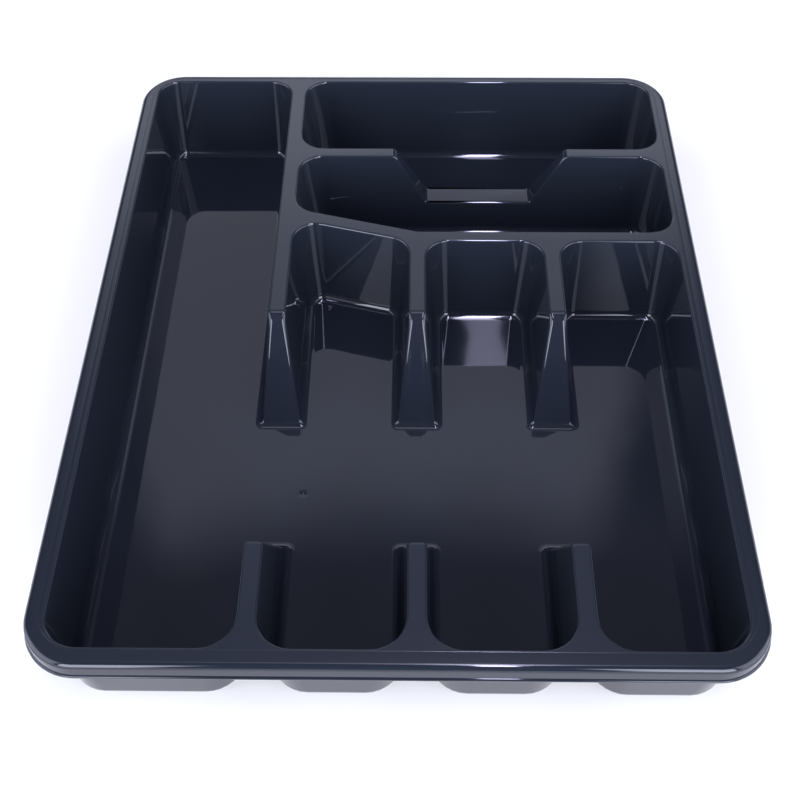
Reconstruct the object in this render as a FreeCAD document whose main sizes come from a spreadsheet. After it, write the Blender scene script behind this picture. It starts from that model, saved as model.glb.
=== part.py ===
import FreeCAD, Part
import os
import Sketcher

doc = FreeCAD.newDocument("cutlery_tray")

# Driving sizes in millimetres, origin under the middle of the tray, X right, Y back, Z up
SIZES = {
    "rim_width": 325,
    "rim_length": 398,
    "rim_corner_radius": 25,
    "rim_edge_radius": 3,
    "tray_height": 58,
    "wall_thickness": 2,
    "skirt_height": 8.8,
    "lip_reach": 1.5,
    "lip_height": 1.8,
    "left_margin": 9.5,
    "right_margin": 9.5,
    "front_margin": 9.2,
    "back_margin": 7,
    "long_bay_width": 83.2,
    "divider_width": 8.9,
    "back_bay_length": 62,
    "notched_wall_width": 7.6,
    "middle_bay_length": 62,
    "cross_wall_width": 7.6,
    "slant_rise": 18,
    "side_draft": 1.2,
    "divider_draft": 6,
    "front_draft": 4,
    "back_draft": 3.3,
    "column_back_draft": 5.8,
    "cross_bay_draft": 5,
    "column_divider_length": 55.3,
    "rear_ramp_run": 33,
    "front_divider_length": 51.3,
    "front_ramp_run": 30,
    "notch_top_width": 100.5,
    "notch_bottom_width": 63,
    "notch_depth": 34,
    "notch_fillet": 2.2,
    "bay_back_radius": 11,
    "bay_front_radius": 16,
    "cross_bay_radius": 12,
    "floor_fillet": 4.5,
    "corner_zone": 27,
}

sheet = doc.addObject("Spreadsheet::Sheet", "sizes")
for row, (alias, value) in enumerate(SIZES.items(), start=1):
    sheet.set("A%d" % row, alias)
    sheet.set("B%d" % row, str(value))
    sheet.setAlias("B%d" % row, alias)
doc.recompute()


def named(text):
    """Expression with every size name read from the sheet."""
    out = []
    word = ""
    for letter in text + " ":
        if letter.isalpha() or letter == "_":
            word += letter
        else:
            out.append("sizes." + word if word in SIZES else word)
            out.append(letter)
            word = ""
    return "".join(out).strip()


# Places of the bay edges at the deck, as expressions of the sizes
T = "wall_thickness"
TOP = "tray_height"
DEPTH = "(tray_height - wall_thickness)"
X_LEFT = "(0 - rim_width / 2 + left_margin)"
X_RIGHT = "(rim_width / 2 - right_margin)"
Y_FRONT = "(0 - rim_length / 2 + front_margin)"
Y_BACK = "(rim_length / 2 - back_margin)"
COLUMN = "((%s - (%s) - long_bay_width - 3 * divider_width) / 3)" % (X_RIGHT, X_LEFT)
LONG_END = "(%s + long_bay_width)" % X_LEFT
A_START = "(%s + divider_width)" % LONG_END
A_END = "(%s + %s)" % (A_START, COLUMN)
B_START = "(%s + divider_width)" % A_END
B_END = "(%s + %s)" % (B_START, COLUMN)
C_START = "(%s + divider_width)" % B_END
BACK_BAY_FRONT = "(%s - back_bay_length)" % Y_BACK
MIDDLE_BACK = "(%s - notched_wall_width)" % BACK_BAY_FRONT
MIDDLE_FRONT = "(%s - middle_bay_length)" % MIDDLE_BACK
COLUMN_BACK = "(%s - cross_wall_width)" % MIDDLE_FRONT
SLANT_RUN = "(%s + divider_width / 2)" % COLUMN
REAR_RAMP = "(%s - column_divider_length)" % COLUMN_BACK
FRONT_RAMP = "(%s + front_divider_length)" % Y_FRONT
NOTCH_X = "((%s + %s) / 2)" % (A_START, X_RIGHT)
OPEN_MIDDLE = "((%s + %s) / 2)" % (REAR_RAMP, FRONT_RAMP)


def origin_plane(body, role):
    for feature in body.Origin.OriginFeatures:
        if feature.Role == role:
            return feature


def polygon(body, name, points, level):
    """Closed polygon on a level, every corner placed by two expressions."""
    sketch = body.newObject("Sketcher::SketchObject", name)
    sketch.AttachmentSupport = [(origin_plane(body, "XY_Plane"), "")]
    sketch.MapMode = "FlatFace"
    sketch.setExpression("AttachmentOffset.Base.z", named(level))
    count = len(points)
    rough = [FreeCAD.Vector(sheet.evalExpression(named(x)), sheet.evalExpression(named(y)), 0)
             for x, y in points]
    for i in range(count):
        sketch.addGeometry(Part.LineSegment(rough[i], rough[(i + 1) % count]), False)
    for i in range(count):
        sketch.addConstraint(Sketcher.Constraint("Coincident", i, 2, (i + 1) % count, 1))
    for i, (x, y) in enumerate(points):
        index = sketch.addConstraint(Sketcher.Constraint("DistanceX", i, 1, rough[i].x))
        sketch.renameConstraint(index, "across_%d" % i)
        sketch.setExpression("Constraints.across_%d" % i, named(x))
        index = sketch.addConstraint(Sketcher.Constraint("DistanceY", i, 1, rough[i].y))
        sketch.renameConstraint(index, "along_%d" % i)
        sketch.setExpression("Constraints.along_%d" % i, named(y))
    return sketch


def prism(name, points, top_level, low_level):
    """Body with upright walls, drawn on its top level and padded down."""
    body = doc.addObject("PartDesign::Body", name)
    sketch = polygon(body, name + "_outline", points, top_level)
    pad = body.newObject("PartDesign::Pad", name + "_pad")
    pad.Profile = sketch
    pad.Reversed = True
    pad.setExpression("Length", named("%s - (%s)" % (top_level, low_level)))
    doc.recompute()
    return body


SIDES = {
    "left": lambda n: n.x < -0.7,
    "right": lambda n: n.x > 0.7,
    "front": lambda n: n.y < -0.7,
    "back": lambda n: n.y > 0.7,
}


def lean(body, side, inset, over):
    """Draft on the walls of one side: the inset is reached over a given depth."""
    pad = [f for f in body.Group if f.TypeId == "PartDesign::Pad"][0]
    top = max(range(len(pad.Shape.Faces)), key=lambda i: pad.Shape.Faces[i].CenterOfMass.z)
    tip = body.Tip
    faces = ["Face%d" % (i + 1) for i, face in enumerate(tip.Shape.Faces) if SIDES[side](face.normalAt(0, 0))]
    draft = body.newObject("PartDesign::Draft", "%s_%s" % (body.Name, side))
    draft.Base = (tip, faces)
    draft.NeutralPlane = (pad, ["Face%d" % (top + 1)])
    draft.Reversed = True
    draft.setExpression("Angle", named("atan(%s / (%s))" % (inset, over)))
    doc.recompute()


def round_edges(body, name, radius, chosen):
    """Fillet on the edges of the body's tip that pass the test."""
    tip = body.Tip
    edges = ["Edge%d" % (i + 1) for i, edge in enumerate(tip.Shape.Edges) if chosen(edge)]
    fillet = body.newObject("PartDesign::Fillet", name)
    fillet.Base = (tip, edges)
    fillet.setExpression("Radius", named(radius))
    doc.recompute()
    return fillet


def value(text):
    return sheet.evalExpression(named(text))


def ends(edge):
    return [v.Point for v in edge.Vertexes]


def upright(test):
    """Edges that climb between two levels, with a test on their place."""
    def check(edge):
        points = ends(edge)
        climbs = len(points) == 2 and abs(points[0].z - points[1].z) > value(T) / 4
        return climbs and test(edge.CenterOfMass)
    return check


def flat_low(level, test):
    """Edges that lie on a low level, with a test on their place."""
    def check(edge):
        on_level = all(abs(p.z - value(level)) < value(T) / 100 for p in ends(edge))
        return on_level and test(edge)
    return check


def level_run(edge):
    """Step from one end of an edge to the other, with differences of no size taken out."""
    first, last = ends(edge)
    step = last - first
    for axis in ("x", "y"):
        if abs(getattr(step, axis)) < value(T) / 100:
            setattr(step, axis, 0)
    return step


def rect(x0, x1, y0, y1):
    return [(x0, y0), (x1, y0), (x1, y1), (x0, y1)]


def trough(name, points, drafts, low_level, corners, fillet):
    """Drafted bay with rounded corners and a fillet round its floor.

    drafts run left, right, front, back; corners are pairs of a radius and a test on the place.
    """
    body = prism(name, points, TOP, low_level)
    for side, inset in zip(SIDES, drafts):
        lean(body, side, inset, DEPTH)
    for number, (radius, test) in enumerate(corners):
        round_edges(body, "%s_corners_%d" % (name, number), radius, upright(test))
    round_edges(body, name + "_floor", fillet, flat_low(low_level, lambda e: True))
    return body


def box(name, x0, x1, y0, y1, z0, z1):
    solid = doc.addObject("Part::Box", name)
    solid.setExpression("Length", named("%s - (%s)" % (x1, x0)))
    solid.setExpression("Width", named("%s - (%s)" % (y1, y0)))
    solid.setExpression("Height", named("%s - (%s)" % (z1, z0)))
    solid.setExpression("Placement.Base.x", named(x0))
    solid.setExpression("Placement.Base.y", named(y0))
    solid.setExpression("Placement.Base.z", named(z0))
    return solid


def joined(name, shapes):
    fuse = doc.addObject("Part::MultiFuse", name)
    fuse.Shapes = shapes
    return fuse


def cut(name, base, tool):
    result = doc.addObject("Part::Cut", name)
    result.Base = base
    result.Tool = tool
    return result


# The bays, once as the clear space and once grown by the wall thickness
def bays(tag, grow, low_level):
    fillet = "floor_fillet + %s" % grow
    front = ("bay_front_radius + %s" % grow, lambda c: c.y < value(OPEN_MIDDLE))
    back = ("bay_back_radius + %s" % grow, lambda c: c.y > value(OPEN_MIDDLE))
    cross = "cross_bay_radius + %s" % grow
    y_front = "%s - %s" % (Y_FRONT, grow)
    y_back = "%s + %s" % (Y_BACK, grow)
    y_columns = "%s + %s" % (COLUMN_BACK, grow)
    x_right = "%s + %s" % (X_RIGHT, grow)
    x_cross = "%s - %s" % (A_START, grow)
    slant = "slant_rise / %s" % SLANT_RUN
    parts = {}

    def add(name, outline, drafts, corners):
        parts[name] = trough("%s_%s" % (name, tag), outline, drafts, low_level, corners, fillet)

    outline = rect("%s - %s" % (X_LEFT, grow), "%s + %s" % (LONG_END, grow), y_front, y_back)
    add("long_bay", outline, ("side_draft", "divider_draft", "front_draft", "back_draft"), (front, back))
    outline = rect(x_cross, "%s + %s" % (A_END, grow), y_front, y_columns)
    outline[3] = (x_cross, "%s + %s * (%s + 2 * %s)" % (y_columns, slant, COLUMN, grow))
    add("column_a", outline, ("divider_draft", "divider_draft", "front_draft", "column_back_draft"), (front, back))
    outline = rect("%s - %s" % (B_START, grow), "%s + %s" % (B_END, grow), y_front, y_columns)
    add("column_b", outline, ("divider_draft", "divider_draft", "front_draft", "column_back_draft"), (front, back))
    outline = rect("%s - %s" % (C_START, grow), x_right, y_front, y_columns)
    add("column_c", outline, ("divider_draft", "side_draft", "front_draft", "column_back_draft"), (front, back))
    outline = rect(x_cross, x_right, "%s - %s" % (BACK_BAY_FRONT, grow), y_back)
    add("back_bay", outline, ("divider_draft", "side_draft", "cross_bay_draft", "back_draft"),
        ((cross, lambda c: True),))
    y_middle = "%s - %s" % (MIDDLE_FRONT, grow)
    bend = "(%s + %s)" % (A_START, SLANT_RUN)
    outline = rect(bend, x_right, y_middle, "%s + %s" % (MIDDLE_BACK, grow))
    outline[3] = (x_cross, outline[3][1])
    outline.append((x_cross, "%s + %s * (%s + %s)" % (y_middle, slant, SLANT_RUN, grow)))
    corner_zone = value("corner_zone")
    at_bend = value(bend)
    add("middle_bay", outline, ("divider_draft", "side_draft", "cross_bay_draft", "cross_bay_draft"),
        ((cross, lambda c: abs(c.x - at_bend) > corner_zone),))
    # Open middle: its sloping ends are the ramps that finish the dividers
    outline = rect("(%s - long_bay_width / 2)" % LONG_END, "(%s + %s / 2)" % (C_START, COLUMN),
                   "%s - %s" % (FRONT_RAMP, grow), "%s + %s" % (REAR_RAMP, grow))
    ramps = prism("ramps_" + tag, outline, TOP, low_level)
    lean(ramps, "front", "front_ramp_run", DEPTH)
    lean(ramps, "back", "rear_ramp_run", DEPTH)
    round_edges(ramps, "ramps_%s_feet" % tag, fillet, flat_low(low_level, lambda edge: level_run(edge).y == 0))
    parts["ramps"] = ramps
    # Notch that lowers the wall between the two cross bays
    half = "notch_top_width / 2 + %s" % grow
    outline = rect("%s - (%s)" % (NOTCH_X, half), "%s + %s" % (NOTCH_X, half),
                   "%s - back_bay_length / 3" % MIDDLE_BACK, "%s + back_bay_length / 3" % BACK_BAY_FRONT)
    saddle = "(%s - notch_depth - %s)" % (TOP, grow)
    notch = prism("notch_" + tag, outline, TOP, saddle)
    for side in ("left", "right"):
        lean(notch, side, "(notch_top_width - notch_bottom_width) / 2", "notch_depth")
    round_edges(notch, "notch_%s_corners" % tag, "notch_fillet + %s" % grow,
                flat_low(saddle, lambda edge: level_run(edge).x == 0))
    parts["notch"] = notch
    return parts


clear = joined("bays_clear", list(bays("clear", "0", T).values()))
cover = bays("cover", T, "0")
doc.recompute()

# Rim: flat deck with a rounded outer edge, a short skirt and a thin lip
W2 = "rim_width / 2"
L2 = "rim_length / 2"


def plate(name, reach, z0, z1):
    outline = rect("0 - %s - %s" % (W2, reach), "%s + %s" % (W2, reach),
                   "0 - %s - %s" % (L2, reach), "%s + %s" % (L2, reach))
    body = prism(name, outline, z1, z0)
    round_edges(body, name + "_corners", "rim_corner_radius + %s" % reach, upright(lambda c: True))
    return body


SKIRT = "(tray_height - skirt_height)"
deck = plate("deck_plate", "0", SKIRT, TOP)
round_edges(deck, "deck_edge", "rim_edge_radius", flat_low(TOP, lambda e: True))
lip = plate("lip_plate", "lip_reach", SKIRT, "%s + lip_height" % SKIRT)
inside = plate("skirt_inside", "(0 - wall_thickness)", "%s - wall_thickness" % SKIRT, "%s - %s" % (TOP, T))
rim_solid = cut("rim_solid", joined("deck_and_lip", [deck, lip]), inside)
rim = cut("rim", rim_solid, clear)


def shell(name, bay_names):
    """Walls and floors of some bays, without the clear space of any bay."""
    return cut(name, joined(name + "_cover", [cover[bay] for bay in bay_names]), clear)


main_shell = shell("main_shell", ("long_bay", "column_a", "column_b", "column_c", "ramps"))
cross_shell = shell("cross_shell", ("back_bay", "middle_bay", "notch"))

# Regions of the two shells, one for each named piece
DECK = "(%s - %s)" % (TOP, T)
FAR_LEFT = "(0 - rim_width)"
FAR_RIGHT = "rim_width"
FAR_FRONT = "(0 - rim_length)"
FAR_BACK = "rim_length"
LEFT_ZONE = "(%s + corner_zone)" % X_LEFT
RIGHT_ZONE = "(%s - corner_zone)" % X_RIGHT
LONG_ZONE = "(%s - corner_zone)" % LONG_END
A_ZONE = "(%s + corner_zone)" % A_START
BACK_ZONE = "(%s - corner_zone)" % Y_BACK
FRONT_ZONE = "(%s + corner_zone)" % Y_FRONT
CROSS_ZONE = "(%s - corner_zone)" % COLUMN_BACK
MIDDLE_ZONE = "(%s - middle_bay_length / 2)" % MIDDLE_BACK
NOTCHED_MIDDLE = "((%s + %s) / 2)" % (BACK_BAY_FRONT, MIDDLE_BACK)
A_MIDDLE = "(%s + %s / 2)" % (A_START, COLUMN)
B_MIDDLE = "(%s + %s / 2)" % (B_START, COLUMN)
RIDGE_1 = "(%s + divider_width / 2)" % LONG_END
RIDGE_2 = "(%s + divider_width / 2)" % A_END
RIDGE_3 = "(%s + divider_width / 2)" % B_END
MAIN_WALLS = {
    "left_wall": (FAR_LEFT, LEFT_ZONE, FAR_FRONT, FAR_BACK),
    "right_wall": (RIGHT_ZONE, FAR_RIGHT, FAR_FRONT, FAR_BACK),
    "long_bay_back_wall": (LEFT_ZONE, LONG_ZONE, OPEN_MIDDLE, FAR_BACK),
    "long_divider": (LONG_ZONE, A_ZONE, OPEN_MIDDLE, FAR_BACK),
    "column_a_back_wall": (A_ZONE, RIDGE_2, CROSS_ZONE, FAR_BACK),
    "column_b_back_wall": (RIDGE_2, RIDGE_3, CROSS_ZONE, FAR_BACK),
    "column_c_back_wall": (RIDGE_3, RIGHT_ZONE, CROSS_ZONE, FAR_BACK),
    "column_divider_1": (A_ZONE, B_MIDDLE, OPEN_MIDDLE, CROSS_ZONE),
    "column_divider_2": (B_MIDDLE, RIGHT_ZONE, OPEN_MIDDLE, CROSS_ZONE),
    "front_divider_1": (LEFT_ZONE, A_MIDDLE, FRONT_ZONE, OPEN_MIDDLE),
    "front_divider_2": (A_MIDDLE, B_MIDDLE, FRONT_ZONE, OPEN_MIDDLE),
    "front_divider_3": (B_MIDDLE, RIGHT_ZONE, FRONT_ZONE, OPEN_MIDDLE),
    "front_wall_1": (LEFT_ZONE, RIDGE_1, FAR_FRONT, FRONT_ZONE),
    "front_wall_2": (RIDGE_1, RIDGE_2, FAR_FRONT, FRONT_ZONE),
    "front_wall_3": (RIDGE_2, RIDGE_3, FAR_FRONT, FRONT_ZONE),
    "front_wall_4": (RIDGE_3, RIGHT_ZONE, FAR_FRONT, FRONT_ZONE),
}
CROSS_WALLS = {
    "back_bay_left_wall": (FAR_LEFT, A_ZONE, NOTCHED_MIDDLE, FAR_BACK),
    "middle_bay_left_wall": (FAR_LEFT, A_ZONE, FAR_FRONT, NOTCHED_MIDDLE),
    "back_bay_right_wall": (RIGHT_ZONE, FAR_RIGHT, NOTCHED_MIDDLE, FAR_BACK),
    "middle_bay_right_wall": (RIGHT_ZONE, FAR_RIGHT, FAR_FRONT, NOTCHED_MIDDLE),
    "back_wall": (A_ZONE, RIGHT_ZONE, BACK_ZONE, FAR_BACK),
    "notched_wall": (A_ZONE, RIGHT_ZONE, MIDDLE_ZONE, BACK_ZONE),
    "middle_bay_front_wall": (A_ZONE, RIGHT_ZONE, FAR_FRONT, MIDDLE_ZONE),
}
MAIN_FLOORS = {
    "main_floor": (FAR_LEFT, FAR_RIGHT, FAR_FRONT, FAR_BACK),
}
CROSS_FLOORS = {
    "back_bay_floor": (FAR_LEFT, FAR_RIGHT, NOTCHED_MIDDLE, FAR_BACK),
    "middle_bay_floor": (FAR_LEFT, FAR_RIGHT, FAR_FRONT, NOTCHED_MIDDLE),
}
nodes = {"rim": rim}


def pieces(source, areas, low, high):
    for name, (x0, x1, y0, y1) in areas.items():
        region = box(name + "_region", x0, x1, y0, y1, low, high)
        common = doc.addObject("Part::MultiCommon", name)
        common.Shapes = [source, region]
        nodes[name] = common


pieces(main_shell, MAIN_WALLS, T, DECK)
pieces(cross_shell, CROSS_WALLS, T, DECK)
pieces(main_shell, MAIN_FLOORS, "0", T)
pieces(cross_shell, CROSS_FLOORS, "0", T)
doc.recompute()

bad = [o.Name for o in doc.Objects if "Invalid" in o.State or "Error" in o.State]
if bad:
    raise SystemExit("Features that failed: " + ", ".join(bad))
for name, node in nodes.items():
    if node.Shape.isNull() or not node.Shape.isValid() or not node.Shape.Solids:
        raise SystemExit("Shape that is not a valid solid: " + name)

os.makedirs("parts", exist_ok=True)
for name, node in nodes.items():
    print(name, len(node.Shape.Solids), round(node.Shape.Volume), node.Shape.BoundBox)
    node.Shape.exportStep("parts/%s.step" % name)
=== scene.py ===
import bmesh
import bpy
import math
from collections import namedtuple
from mathutils import Matrix, Vector


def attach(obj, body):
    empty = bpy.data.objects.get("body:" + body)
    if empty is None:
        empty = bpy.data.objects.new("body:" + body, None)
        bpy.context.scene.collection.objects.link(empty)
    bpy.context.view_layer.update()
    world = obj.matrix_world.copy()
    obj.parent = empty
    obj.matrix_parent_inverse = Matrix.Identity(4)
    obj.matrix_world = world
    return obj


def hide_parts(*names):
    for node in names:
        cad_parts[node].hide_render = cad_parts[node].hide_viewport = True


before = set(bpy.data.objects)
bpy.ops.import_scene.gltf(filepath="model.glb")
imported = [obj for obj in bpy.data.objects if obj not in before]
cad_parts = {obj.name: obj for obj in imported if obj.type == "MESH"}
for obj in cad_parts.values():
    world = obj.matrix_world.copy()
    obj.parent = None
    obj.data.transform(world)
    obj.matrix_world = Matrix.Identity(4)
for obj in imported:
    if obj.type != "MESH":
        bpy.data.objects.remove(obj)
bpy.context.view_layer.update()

# Sizes of the moulding in millimetres: X to the right, Y to the back, Z up from the table
MM = 0.001
HEIGHT = 58.0
WALL = 2.0
RIM_WIDTH = 325.0
RIM_LENGTH = 398.0
RIM_CORNER = 25.0
RIM_EDGE = 3.0
RIM_SPREAD = 0.2
SKIRT_HEIGHT = 9.6
SKIRT_FLARE = 0.45
LIP_REACH = 1.3
LIP_HEIGHT = 1.8
LIP_GROOVE = 0.2
SIDE_DECK = 9.5
FRONT_DECK = 9.2
BACK_DECK = 7.0
CROSS_DECK = 7.6
LONG_BAY = 83.2
CROSS_BAY = 62.0
DIVIDER = 8.9
REAR_DIVIDER = 55.3
FRONT_DIVIDER = 52.2
SLANT_RISE = 18.0
NOTCH_TOP = 100.5
NOTCH_BOTTOM = 63.0
NOTCH_DEPTH = 34.0
FLOOR_FILLET = 4.5

# How far each wall leans into its bay between the deck and the floor
SIDE_DRAFT = 1.2
RIDGE_DRAFT = 6.0
FRONT_RIDGE_DRAFT = 3.5
FRONT_DRAFT = 4.0
BACK_DRAFT = 3.3
COLUMN_DRAFT = 5.8
CROSS_DRAFT = 5.0
REAR_RAMP_RUN = 31.0
FRONT_RAMP_RUN = 27.0

# Roundings of edges, flat margins beside them, and radii of corners as pairs: at the deck and at the floor
DECK_ROUNDING = 1.2
FRONT_ROUNDING = 0.6
RAMP_ROUNDING = 2.4
REAR_ROUNDING = 8.0
NOTCH_ROUNDING = 4.5
NOTCH_FILLET = 2.2
SADDLE_ROUNDING = 1.8
EDGE_MARGIN = 0.15
FOOT_MARGIN = 1.0
LEAST_RADIUS = 0.25
FRONT_CORNER = (16.0, 16.0)
BACK_CORNER = (13.0, 8.5)
CROSS_CORNER = (14.0, 9.5)
REAR_NOSE = (2.6, 0.8)
FRONT_NOSE = (2.4, 0.8)
NOTCH_CORNER = (1.6, 1.6)

# Fineness of the mesh
CORNER_STEPS = 8
ARC_STEPS = 6
RIM_STEPS = 14
RIM_EDGE_STEPS = 8
GATE_STEPS = 24
UPPER_ROWS = 3
LOWER_ROWS = 2
LEVEL_DIGITS = 4
MERGE = 0.01
SHARP_ANGLE = 32
FLAT_FACE_WEIGHT = 80

# Depth of the bays, places of their edges at the deck, and level of the notch's saddle
DEPTH = HEIGHT - WALL
X_LEFT = -RIM_WIDTH / 2 + SIDE_DECK
X_RIGHT = RIM_WIDTH / 2 - SIDE_DECK
Y_FRONT = -RIM_LENGTH / 2 + FRONT_DECK
Y_BACK = RIM_LENGTH / 2 - BACK_DECK
COLUMN = (X_RIGHT - X_LEFT - LONG_BAY - 3 * DIVIDER) / 3
LONG_END = X_LEFT + LONG_BAY
A_START = LONG_END + DIVIDER
A_END = A_START + COLUMN
B_START = A_END + DIVIDER
B_END = B_START + COLUMN
C_START = B_END + DIVIDER
BACK_BAY_FRONT = Y_BACK - CROSS_BAY
MIDDLE_BACK = BACK_BAY_FRONT - CROSS_DECK
MIDDLE_FRONT = MIDDLE_BACK - CROSS_BAY
COLUMN_BACK = MIDDLE_FRONT - CROSS_DECK
SLANT_RUN = COLUMN + DIVIDER / 2
SLANT_END = A_START + SLANT_RUN
A_BACK = COLUMN_BACK + SLANT_RISE * COLUMN / SLANT_RUN
REAR_RAMP = COLUMN_BACK - REAR_DIVIDER
FRONT_RAMP = Y_FRONT + FRONT_DIVIDER
NOTCH_MIDDLE = (A_START + X_RIGHT) / 2
NOTCH_LEFT = NOTCH_MIDDLE - NOTCH_TOP / 2
NOTCH_RIGHT = NOTCH_MIDDLE + NOTCH_TOP / 2
SADDLE = HEIGHT - NOTCH_DEPTH

# The two faces of the moulding: growth beyond the clear bays, whether the deck edge is rounded, the fillet
# at the floor, and the level of the floor
Skin = namedtuple("Skin", "grow rounded fillet floor")
TOP_SKIN = Skin(0.0, True, FLOOR_FILLET, WALL)
UNDER_SKIN = Skin(WALL, False, FLOOR_FILLET + WALL, 0.0)


class Leaning:
    """Drafted wall of a bay, which leans in by its inset over a depth and is rounded at the deck."""

    def __init__(self, inset, over=DEPTH, rounding=DECK_ROUNDING, foot=None):
        self.slope = inset / over
        self.tilt = math.atan(self.slope)
        self.rounding = rounding
        self.foot = foot

    def wall(self, level):
        """Inward move of the plain wall at a level."""
        return self.slope * (HEIGHT - level)

    def shift(self, level, skin):
        """Inward move at a level, with the rounded deck edge and the fillet at the foot."""
        fillet, floor = self.foot or (skin.fillet, skin.floor)
        drop = HEIGHT - level
        if skin.rounded and drop < self.rounding * (1 - math.sin(self.tilt)):
            turn = math.acos(1 - drop / self.rounding)
            return self.rounding * (math.sin(turn) - math.tan(math.pi / 4 - self.tilt / 2))
        rise = max(level - floor, 0.0)
        reach = fillet * (1 - math.sin(self.tilt))
        if rise < reach:
            turn = math.acos(1 - rise / fillet)
            middle = self.slope * (HEIGHT - floor - reach) + fillet * math.cos(self.tilt)
            return middle - fillet * math.sin(turn)
        return self.wall(level)


SIDE = Leaning(SIDE_DRAFT)
RIDGE = Leaning(RIDGE_DRAFT)
FRONT_RIDGE = Leaning(FRONT_RIDGE_DRAFT)
FRONT = Leaning(FRONT_DRAFT, rounding=FRONT_ROUNDING)
BACK = Leaning(BACK_DRAFT)
COLUMN_END = Leaning(COLUMN_DRAFT)
CROSS = Leaning(CROSS_DRAFT)
REAR_SLOPE = Leaning(REAR_RAMP_RUN, rounding=REAR_ROUNDING)
FRONT_SLOPE = Leaning(FRONT_RAMP_RUN, rounding=RAMP_ROUNDING)
NOTCH_END = Leaning((NOTCH_TOP - NOTCH_BOTTOM) / 2, NOTCH_DEPTH, NOTCH_ROUNDING, (NOTCH_FILLET, SADDLE))

# Each bay's outline at the deck, anticlockwise: corner, its radii, and the wall that follows it
FRONT_DIVIDERS = ((LONG_END, A_START), (A_END, B_START), (B_END, C_START))
REAR_DIVIDERS = (
    (C_START, COLUMN_BACK, B_END, COLUMN_BACK, COLUMN_END),
    (B_START, COLUMN_BACK, A_END, COLUMN_BACK, COLUMN_END),
    (A_START, A_BACK, LONG_END, Y_BACK, BACK),
)
MAIN_BAY = [(X_LEFT, Y_FRONT, FRONT_CORNER, FRONT)]
for left, right in FRONT_DIVIDERS:
    MAIN_BAY += [
        (left, Y_FRONT, FRONT_CORNER, FRONT_RIDGE),
        (left, FRONT_RAMP, FRONT_NOSE, FRONT_SLOPE),
        (right, FRONT_RAMP, FRONT_NOSE, FRONT_RIDGE),
        (right, Y_FRONT, FRONT_CORNER, FRONT),
    ]
MAIN_BAY += [
    (X_RIGHT, Y_FRONT, FRONT_CORNER, SIDE),
    (X_RIGHT, COLUMN_BACK, BACK_CORNER, COLUMN_END),
]
for right, right_back, left, left_back, next_wall in REAR_DIVIDERS:
    MAIN_BAY += [
        (right, right_back, BACK_CORNER, RIDGE),
        (right, REAR_RAMP, REAR_NOSE, REAR_SLOPE),
        (left, REAR_RAMP, REAR_NOSE, RIDGE),
        (left, left_back, BACK_CORNER, next_wall),
    ]
MAIN_BAY.append((X_LEFT, Y_BACK, BACK_CORNER, SIDE))
BACK_BAY = [
    (NOTCH_RIGHT, BACK_BAY_FRONT, NOTCH_CORNER, CROSS),
    (X_RIGHT, BACK_BAY_FRONT, CROSS_CORNER, SIDE),
    (X_RIGHT, Y_BACK, CROSS_CORNER, BACK),
    (A_START, Y_BACK, CROSS_CORNER, RIDGE),
    (A_START, BACK_BAY_FRONT, CROSS_CORNER, CROSS),
    (NOTCH_LEFT, BACK_BAY_FRONT, NOTCH_CORNER, NOTCH_END),
]
MIDDLE_BAY = [
    (NOTCH_LEFT, MIDDLE_BACK, NOTCH_CORNER, CROSS),
    (A_START, MIDDLE_BACK, CROSS_CORNER, RIDGE),
    (A_START, MIDDLE_FRONT + SLANT_RISE, CROSS_CORNER, CROSS),
    (SLANT_END, MIDDLE_FRONT, CROSS_CORNER, CROSS),
    (X_RIGHT, MIDDLE_FRONT, CROSS_CORNER, SIDE),
    (X_RIGHT, MIDDLE_BACK, CROSS_CORNER, CROSS),
    (NOTCH_RIGHT, MIDDLE_BACK, NOTCH_CORNER, NOTCH_END),
]
CROSS_BAYS = BACK_BAY + MIDDLE_BAY


def crossing(p, d, q, e):
    """Where the line through p along d meets the line through q along e."""
    det = d.x * e.y - d.y * e.x
    along = ((q.x - p.x) * e.y - (q.y - p.y) * e.x) / det
    return p + d * along


def contour(outline, level, skin, margin=0.0):
    """Closed outline of a bay at a level, as one list of points for each corner."""
    count = len(outline)
    depth = (HEIGHT - level) / DEPTH
    lines = []
    spread = []
    for i in range(count):
        start = Vector(outline[i][:2])
        end = Vector(outline[(i + 1) % count][:2])
        run = (end - start).normalized()
        inward = Vector((-run.y, run.x))
        wall = outline[i][3]
        shift = wall.shift(level, skin) - skin.grow - margin
        lines.append((start + inward * shift, run))
        spread.append(shift - wall.wall(level))
    corners = []
    for i in range(count):
        before, into = lines[i - 1]
        after, out = lines[i]
        turn = math.atan2(into.x * out.y - into.y * out.x, into.dot(out))
        corner = crossing(before, into, after, out)
        side = 1.0 if turn > 0 else -1.0
        at_deck, at_floor = outline[i][2]
        radius = at_deck + (at_floor - at_deck) * depth - side * (spread[i - 1] + spread[i]) / 2
        radius = max(radius, LEAST_RADIUS)
        touch = corner - into * radius * math.tan(abs(turn) / 2)
        arm = Vector((into.y, -into.x)) * radius * side
        middle = touch - arm
        points = []
        for k in range(CORNER_STEPS + 1):
            p = middle + Matrix.Rotation(turn * k / CORNER_STEPS, 2) @ arm
            points.append(Vector((p.x, p.y, level)))
        corners.append(points)
    return corners


def flat(corners):
    return [p for corner in corners for p in corner]


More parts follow.
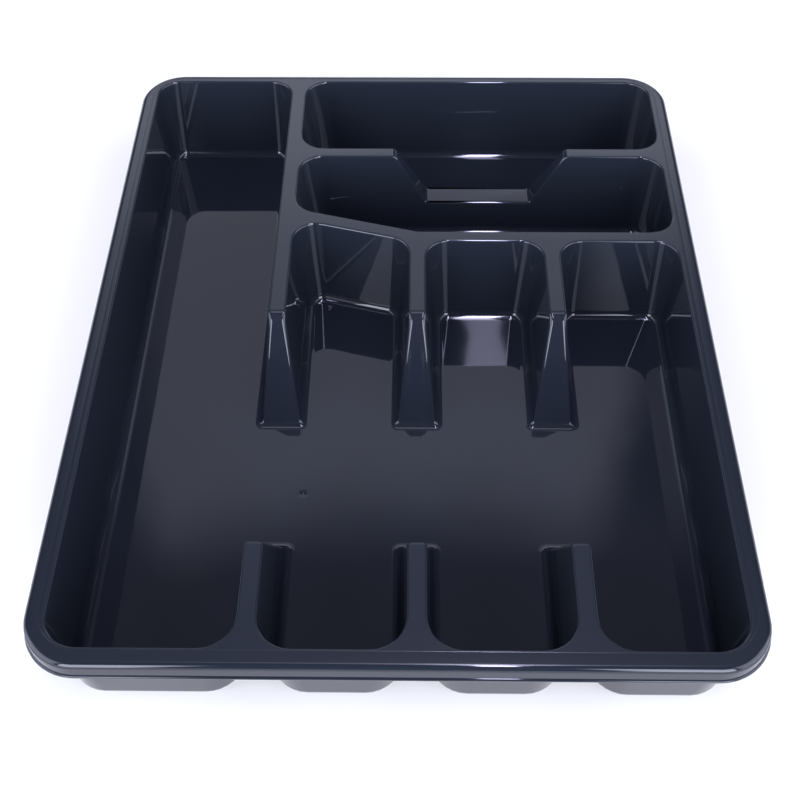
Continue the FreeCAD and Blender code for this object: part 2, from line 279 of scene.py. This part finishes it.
class Shell:
    """Mesh under construction, with its corners given in millimetres."""

    def __init__(self):
        self.bm = bmesh.new()

    def ring(self, points):
        return [self.bm.verts.new(p * MM) for p in points]

    def face(self, corners):
        self.bm.faces.new(corners)

    def strip(self, low, high, closed=True):
        """Quads between two rings with the same number of corners."""
        count = len(low)
        for i in range(count if closed else count - 1):
            j = (i + 1) % count
            self.face((low[i], low[j], high[j], high[i]))

    def rings(self, levels):
        for low, high in zip(levels, levels[1:]):
            self.strip(low, high)

    def fill(self, *loops):
        """Flat face inside closed loops, the first outside and the rest as holes."""
        edges = []
        for loop in loops:
            for i in range(len(loop)):
                pair = (loop[i], loop[(i + 1) % len(loop)])
                edges.append(self.bm.edges.get(pair) or self.bm.edges.new(pair))
        bmesh.ops.triangle_fill(self.bm, use_beauty=True, use_dissolve=False, edges=edges)


shell = Shell()
ARC = [math.radians(90 * k / ARC_STEPS) for k in range(ARC_STEPS + 1)]


def deck_levels(skin, radii):
    """Levels from the deck down that follow its edge roundings, or the one level of a plain edge."""
    if not skin.rounded:
        return [HEIGHT - WALL]
    levels = {round(HEIGHT - r * (1 - math.cos(a)), LEVEL_DIGITS) for r in radii for a in ARC}
    return sorted(levels, reverse=True)


def foot_levels(fillet, floor):
    """Levels down a fillet to its floor."""
    return [floor + fillet * (1 - math.cos(a)) for a in reversed(ARC)]


def spaced(top, bottom, count):
    """Evenly spaced levels between two others."""
    return [top + (bottom - top) * k / (count + 1) for k in range(1, count + 1)]


def main_bay(skin):
    """Long bay, columns, open middle and front bays: one floor inside one wall.

    A narrow flat margin beside each rounded edge keeps the deck and the floor level in shading.
    """
    top = deck_levels(skin, (FRONT_ROUNDING, DECK_ROUNDING, RAMP_ROUNDING, REAR_ROUNDING))
    low = foot_levels(skin.fillet, skin.floor)
    places = [(HEIGHT, EDGE_MARGIN)] if skin.rounded else []
    places += [(level, 0.0) for level in top + spaced(top[-1], low[0], UPPER_ROWS) + low]
    places.append((skin.floor, -FOOT_MARGIN))
    rings = [shell.ring(flat(contour(MAIN_BAY, level, skin, margin))) for level, margin in places]
    shell.rings(rings)
    return rings[0], rings[-1]


def saddle_edge(start, inward, ends):
    """Rounded edge of the notch's saddle over a bay, as pairs of corners going down to the wall."""
    steep = math.pi / 2 - CROSS.tilt
    rows = []
    for k in range(ARC_STEPS + 1):
        turn = steep * k / ARC_STEPS
        reach = CROSS.wall(SADDLE) + SADDLE_ROUNDING * (math.sin(turn) - math.tan(steep / 2))
        level = SADDLE - SADDLE_ROUNDING * (1 - math.cos(turn))
        rows.append(shell.ring([Vector((x, start + inward * reach, level)) for x in ends]))
    for high, low in zip(rows, rows[1:]):
        shell.face(high + low[::-1])
    return rows


def below_saddle(skin, outline, run, start, inward):
    """Cross bay below the notch's saddle, hung from a run of corners; gives the edge of a rounded saddle.

    The notched wall starts on a line across the tray and leans into the bay, to the back (1) or front (-1).
    """
    ends = (run[0].co.x / MM, run[-1].co.x / MM)
    low = foot_levels(skin.fillet, skin.floor)
    edge = []
    if skin.rounded:
        rows = saddle_edge(start, inward, ends)
        edge = rows[0]
        for corner, column in zip((run[0], run[-1]), zip(*rows)):
            shell.face((corner, *column))
        bend = SADDLE - SADDLE_ROUNDING * (1 - math.sin(CROSS.tilt))
        levels = [bend] + spaced(bend, low[0], LOWER_ROWS) + low
    else:
        levels = spaced(SADDLE - skin.grow, low[0], LOWER_ROWS) + low
    first = CROSS_BAYS.index(outline[0])
    previous = run
    for level in levels:
        y = start + inward * (CROSS.shift(level, skin) - skin.grow)
        corners = contour(CROSS_BAYS, level, skin)
        body = flat(corners[first + 1:first + len(outline) - 1])
        row = shell.ring([Vector((ends[0], y, level))] + body + [Vector((ends[1], y, level))])
        # Under a rounded saddle the first strip stays open, because the rounded edge closes it
        shell.strip(previous, row, closed=not (skin.rounded and previous is run))
        previous = row
    shell.fill(previous)
    return edge


def cross_bays(skin):
    """Two cross bays and the notched wall between them."""
    top = deck_levels(skin, (DECK_ROUNDING, NOTCH_ROUNDING))
    low = foot_levels(NOTCH_FILLET, SADDLE - skin.grow)
    levels = top + spaced(top[-1], low[0], UPPER_ROWS) + low
    rows = [shell.ring(flat(contour(CROSS_BAYS, level, skin))) for level in levels]
    shell.rings(rows)
    # At the saddle the outline parts into two runs, one for each bay, and the two ends of the notch
    joint = rows[-1]
    steps = CORNER_STEPS + 1
    middle = len(BACK_BAY) * steps
    back_run = joint[steps - 1:middle - steps + 1]
    middle_run = joint[middle + steps - 1:len(joint) - steps + 1]
    left_end = joint[middle - steps:middle + steps]
    right_end = joint[len(joint) - steps:] + joint[:steps]
    back_edge = below_saddle(skin, BACK_BAY, back_run, BACK_BAY_FRONT, 1)
    middle_edge = below_saddle(skin, MIDDLE_BAY, middle_run, MIDDLE_BACK, -1)
    shell.face(left_end + middle_edge + right_end + back_edge)
    return rows[0]


def rounded_rect(half_width, front, back, radius, level):
    """Rectangle with round corners at a level, from its half width and its two ends."""
    side = half_width - radius
    near = front + radius
    far = back - radius
    middles = ((side, far), (-side, far), (-side, near), (side, near))
    points = []
    for quarter, (x, y) in enumerate(middles):
        for k in range(RIM_STEPS + 1):
            a = math.radians(90 * quarter + 90 * k / RIM_STEPS)
            points.append(Vector((x + radius * math.cos(a), y + radius * math.sin(a), level)))
    return points


def rim_section():
    """Section of the rim from the deck over the lip to the underside: reach beyond its edge, and level."""
    section = []
    for k in range(RIM_EDGE_STEPS + 1):
        turn = math.radians(90 * k / RIM_EDGE_STEPS)
        section.append((RIM_EDGE * (math.sin(turn) - 1), HEIGHT - RIM_EDGE * (1 - math.cos(turn))))
    low = HEIGHT - SKIRT_HEIGHT
    shoulder = low + LIP_HEIGHT
    section.append((SKIRT_FLARE, shoulder + LIP_GROOVE))
    section.append((SKIRT_FLARE - LIP_GROOVE, shoulder + LIP_GROOVE / 2))
    section.append((SKIRT_FLARE, shoulder))
    edge = LIP_HEIGHT / 2
    for k in range(1, ARC_STEPS + 1):
        turn = math.radians(180 * k / ARC_STEPS)
        section.append((LIP_REACH - edge + edge * math.sin(turn), low + edge + edge * math.cos(turn)))
    section.append((-WALL, low))
    section.append((-WALL, HEIGHT - WALL))
    return section


def rim():
    """Outer edge, skirt and lip of the deck."""
    half_width = RIM_WIDTH / 2 + RIM_SPREAD
    front = -RIM_LENGTH / 2
    back = RIM_LENGTH / 2 + RIM_SPREAD / 2
    rings = []
    for reach, level in rim_section():
        rect = rounded_rect(half_width + reach, front - reach, back + reach, RIM_CORNER + reach, level)
        rings.append(shell.ring(rect))
    shell.rings(rings)
    return rings[0], rings[-1]


# Witness line of the mould round the deck: its place from the rim's edge and the front bays, and its groove
LINE_SIDE_INSET = 6.3
LINE_FRONT_GAP = 1.0
LINE_BACK_INSET = 3.5
LINE_CORNER = 19.0
LINE_HALF = 0.12
LINE_DEPTH = 0.06


def witness_line():
    half_width = RIM_WIDTH / 2 - LINE_SIDE_INSET
    front = Y_FRONT - LINE_FRONT_GAP
    back = RIM_LENGTH / 2 - LINE_BACK_INSET
    rings = []
    for out, drop in ((LINE_HALF, 0.0), (0.0, LINE_DEPTH), (-LINE_HALF, 0.0)):
        rect = rounded_rect(half_width + out, front - out, back + out, LINE_CORNER + out, HEIGHT - drop)
        rings.append(shell.ring(rect))
    shell.rings(rings)
    return rings[0], rings[-1]


# Mark of the mould's gate on the floor: its middle, and its section as radius and rise
GATE_PLACE = (-50.8, -78.0)
GATE_SECTION = ((3.0, 0.0), (2.1, 0.0), (1.7, -0.10), (1.2, -0.12), (0.9, 0.10), (0.5, 0.22))


def gate_mark():
    x, y = GATE_PLACE
    turns = [2 * math.pi * k / GATE_STEPS for k in range(GATE_STEPS)]
    rings = []
    for radius, rise in GATE_SECTION:
        circle = [Vector((x + radius * math.cos(a), y + radius * math.sin(a), WALL + rise)) for a in turns]
        rings.append(shell.ring(circle))
    shell.rings(rings)
    shell.fill(rings[-1])
    return rings[0]


def moulding():
    """The whole tray as one closed mesh with even shading."""
    rim_edge, rim_underside = rim()
    line_outside, line_inside = witness_line()
    deck_main, floor_main = main_bay(TOP_SKIN)
    deck_cross = cross_bays(TOP_SKIN)
    under_main, base_main = main_bay(UNDER_SKIN)
    under_cross = cross_bays(UNDER_SKIN)
    shell.fill(rim_edge, line_outside)
    shell.fill(line_inside, deck_main, deck_cross)
    shell.fill(rim_underside, under_main, under_cross)
    shell.fill(floor_main, gate_mark())
    shell.fill(base_main)
    bm = shell.bm
    bmesh.ops.remove_doubles(bm, verts=bm.verts, dist=MERGE * MM)
    bmesh.ops.recalc_face_normals(bm, faces=bm.faces)
    for face in bm.faces:
        face.smooth = True
    for edge in bm.edges:
        edge.smooth = edge.calc_face_angle(0.0) <= math.radians(SHARP_ANGLE)
    mesh = bpy.data.meshes.new("tray_moulding")
    bm.to_mesh(mesh)
    bm.free()
    tray = bpy.data.objects.new("tray_moulding", mesh)
    bpy.context.collection.objects.link(tray)
    weights = tray.modifiers.new("even_shading", "WEIGHTED_NORMAL")
    weights.keep_sharp = True
    weights.weight = FLAT_FACE_WEIGHT
    finished = tray.evaluated_get(bpy.context.evaluated_depsgraph_get())
    shaded = bpy.data.meshes.new_from_object(finished)
    tray.modifiers.clear()
    tray.data = shaded
    return tray


class Tree:
    """Node tree of a material or of the world."""

    def __init__(self, owner):
        owner.use_nodes = True
        self.nodes = owner.node_tree.nodes
        self.links = owner.node_tree.links

    def feed(self, socket, value):
        """Join an output to an input, or give the input a plain value."""
        if isinstance(value, bpy.types.NodeSocket):
            self.links.new(value, socket)
        else:
            socket.default_value = value

    def fill(self, node, inputs):
        for name, value in inputs.items():
            self.feed(node.inputs[name], value)

    def add(self, kind, **inputs):
        """New node, with values for its inputs that have one-word names."""
        node = self.nodes.new(kind)
        self.fill(node, inputs)
        return node

    def calc(self, operation, *values):
        """Result of a sum on outputs or plain numbers."""
        node = self.nodes.new("ShaderNodeMath")
        node.operation = operation
        for socket, value in zip(node.inputs, values):
            self.feed(socket, value)
        return node.outputs["Value"]

    def remap(self, value, start, end, low=0.0, high=1.0):
        """Node that carries a value from the range start to end onto the range low to high."""
        node = self.add("ShaderNodeMapRange", Value=value)
        self.fill(node, {"From Min": start, "From Max": end, "To Min": low, "To Max": high})
        return node


# Navy plastic: two close tones, swells in metres, and a polish like a mirror in the bays that turns duller
# between two depths below the deck, in millimetres
NAVY_DEEP = (0.0118, 0.0148, 0.0214, 1)
NAVY_PALE = (0.0126, 0.0158, 0.0228, 1)
PLASTIC_IOR = 1.5
CLOUD_SCALE = 18.0
CLOUD_DETAIL = 4.0
SWELL_SCALE = 22.0
SWELL_DETAIL = 1.0
SWELL_HEIGHT = 0.00012
BAY_ROUGHNESS = 0.04
DECK_ROUGHNESS = 0.20
MIRROR_DEPTH = 0.15
DULL_DEPTH = 0.05


def navy_plastic():
    """Glossy moulded plastic, dark navy, with faint swells in its surface."""
    material = bpy.data.materials.new("navy_plastic")
    tree = Tree(material)
    place = tree.add("ShaderNodeTexCoord").outputs["Object"]
    cloud = tree.add("ShaderNodeTexNoise", Vector=place, Scale=CLOUD_SCALE, Detail=CLOUD_DETAIL)
    tint = tree.add("ShaderNodeValToRGB", Fac=cloud.outputs["Fac"])
    for stop, tone in zip(tint.color_ramp.elements, (NAVY_DEEP, NAVY_PALE)):
        stop.color = tone
    height = tree.add("ShaderNodeSeparateXYZ", Vector=place).outputs["Z"]
    polish = tree.remap(height, (HEIGHT - MIRROR_DEPTH) * MM, (HEIGHT - DULL_DEPTH) * MM,
                        BAY_ROUGHNESS, DECK_ROUGHNESS)
    swell = tree.add("ShaderNodeTexNoise", Vector=place, Scale=SWELL_SCALE, Detail=SWELL_DETAIL)
    uneven = tree.add("ShaderNodeBump", Height=swell.outputs["Fac"], Distance=SWELL_HEIGHT)
    tree.fill(tree.nodes["Principled BSDF"], {
        "Base Color": tint.outputs["Color"],
        "Roughness": polish.outputs["Result"],
        "IOR": PLASTIC_IOR,
        "Normal": uneven.outputs["Normal"],
    })
    return material


tray = moulding()
tray.data.materials.clear()
tray.data.materials.append(navy_plastic())
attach(tray, "root")
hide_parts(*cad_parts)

# Studio floor in metres: white paper that glows a little to the camera and in reflections, to read as white
FLOOR_SIZE = 6.0
FLOOR_LEVEL = -0.0005
PAPER_COLOUR = (0.85, 0.83, 0.77, 1)
PAPER_ROUGHNESS = 0.9
PAPER_GLOW = 0.12
WHITE = (1, 1, 1, 1)


def white_paper():
    material = bpy.data.materials.new("white_floor")
    tree = Tree(material)
    path = tree.add("ShaderNodeLightPath").outputs
    seen = tree.calc("MAXIMUM", path["Is Camera Ray"], path["Is Glossy Ray"])
    seen = tree.calc("MAXIMUM", seen, path["Is Transmission Ray"])
    tree.fill(tree.nodes["Principled BSDF"], {
        "Base Color": PAPER_COLOUR,
        "Roughness": PAPER_ROUGHNESS,
        "Specular IOR Level": 0.0,
        "Emission Color": WHITE,
        "Emission Strength": tree.calc("MULTIPLY", seen, PAPER_GLOW),
    })
    return material


bpy.ops.mesh.primitive_plane_add(size=FLOOR_SIZE, location=(0, 0, FLOOR_LEVEL))
floor = bpy.context.object
floor.name = "studio_floor"
floor.data.materials.append(white_paper())

# Studio light: a dim room with soft panels, each given in degrees as the bearing of its middle from the
# back, its half width, its lowest and highest elevation, the softness of its edges, and then its strength
ROOM_COLOUR = (0.95, 1.0, 1.20, 1)
ROOM_GLOW = 0.06
PANELS = (
    (0, 130, -90, 4, 12, 1.3),
    (-156, 9, 2, 40, 3, 8.0),
    (157, 10, 2, 40, 3, 8.0),
    (110, 24, 4, 46, 10, 2.8),
    (-110, 24, 4, 46, 10, 2.8),
    (0, 18, 33, 38, 6, 1.6),
    (-3.3, 18.7, 40, 55.5, 6, 0.8),
    (0, 60, 59, 72, 4, 0.12),
    (0, 60, 76, 84, 5, 1.6),
)


def climb_between(tree, value, start, end):
    """Smooth climb from 0 to 1 between two angles in degrees."""
    node = tree.remap(value, math.radians(start), math.radians(end))
    node.interpolation_type = "SMOOTHSTEP"
    return node.outputs["Result"]


def studio_room():
    """World with the panels, which is plain white where the camera itself looks at it."""
    world = bpy.data.worlds.new("studio")
    tree = Tree(world)
    tree.nodes.clear()
    toward = tree.add("ShaderNodeTexCoord").outputs["Generated"]
    glow = ROOM_GLOW
    for bearing, half_width, low, high, soft, strength in PANELS:
        swing = tree.add("ShaderNodeVectorRotate", Vector=toward, Angle=math.radians(bearing))
        swing.rotation_type = "Z_AXIS"
        split = tree.add("ShaderNodeSeparateXYZ", Vector=swing.outputs["Vector"]).outputs
        aside = tree.calc("ABSOLUTE", tree.calc("ARCTAN2", split["X"], split["Y"]))
        height = tree.calc("ARCSINE", split["Z"])
        across = climb_between(tree, aside, half_width + soft, half_width)
        above = climb_between(tree, height, low - soft, low)
        below = climb_between(tree, height, high + soft, high)
        inside = tree.calc("MULTIPLY", across, tree.calc("MULTIPLY", above, below))
        glow = tree.calc("MULTIPLY_ADD", inside, strength, glow)
    room = tree.add("ShaderNodeBackground", Color=ROOM_COLOUR, Strength=glow)
    backdrop = tree.add("ShaderNodeBackground", Color=WHITE)
    path = tree.add("ShaderNodeLightPath")
    either = tree.add("ShaderNodeMixShader", Fac=path.outputs["Is Camera Ray"])
    tree.feed(either.inputs[1], room.outputs["Background"])
    tree.feed(either.inputs[2], backdrop.outputs["Background"])
    tree.add("ShaderNodeOutputWorld", Surface=either.outputs["Shader"])
    return world


bpy.context.scene.world = studio_room()

# Narrow ceiling lamp, which faces down: place and sizes in metres, turn in degrees about the upright
LAMP_PLACE = (0.139, -0.33, 1.4)
LAMP_TURN = 2.4
LAMP_WIDTH = 0.068
LAMP_LENGTH = 0.94
LAMP_POWER = 6.8
LAMP_COLOUR = (0.95, 0.92, 1.35)


def ceiling_lamp():
    light = bpy.data.lights.new("ceiling_lamp", "AREA")
    light.shape = "RECTANGLE"
    light.size = LAMP_WIDTH
    light.size_y = LAMP_LENGTH
    light.energy = LAMP_POWER
    light.color = LAMP_COLOUR
    lamp = bpy.data.objects.new("ceiling_lamp", light)
    bpy.context.collection.objects.link(lamp)
    lamp.location = LAMP_PLACE
    lamp.rotation_euler = (0, 0, math.radians(LAMP_TURN))


ceiling_lamp()

# Camera at the photograph's viewing angle: place in metres, angles in degrees, focal length in pixels
CAMERA_PLACE = (0.00573, -0.38651, 0.50014)
PITCH = math.radians(53.354)
YAW = math.radians(-0.941)
ROLL = math.radians(-0.445)
SENSOR = 36.0
FOCAL_PIXELS = 1110
PHOTO_PIXELS = 800


def photo_camera():
    ahead = Vector((math.sin(YAW) * math.cos(PITCH), math.cos(YAW) * math.cos(PITCH), -math.sin(PITCH)))
    level = Vector((math.cos(YAW), -math.sin(YAW), 0))
    upright = level.cross(ahead)
    right = level * math.cos(ROLL) + upright * math.sin(ROLL)
    up = upright * math.cos(ROLL) - level * math.sin(ROLL)
    view = bpy.data.cameras.new("photo_view")
    view.sensor_width = SENSOR
    view.lens = SENSOR * FOCAL_PIXELS / PHOTO_PIXELS
    camera = bpy.data.objects.new("photo_view", view)
    bpy.context.collection.objects.link(camera)
    turned = Matrix((right, up, -ahead)).transposed().to_4x4()
    camera.matrix_world = Matrix.Translation(CAMERA_PLACE) @ turned
    return camera


bpy.context.scene.camera = photo_camera()

bpy.context.scene.view_settings.view_transform = "Standard"
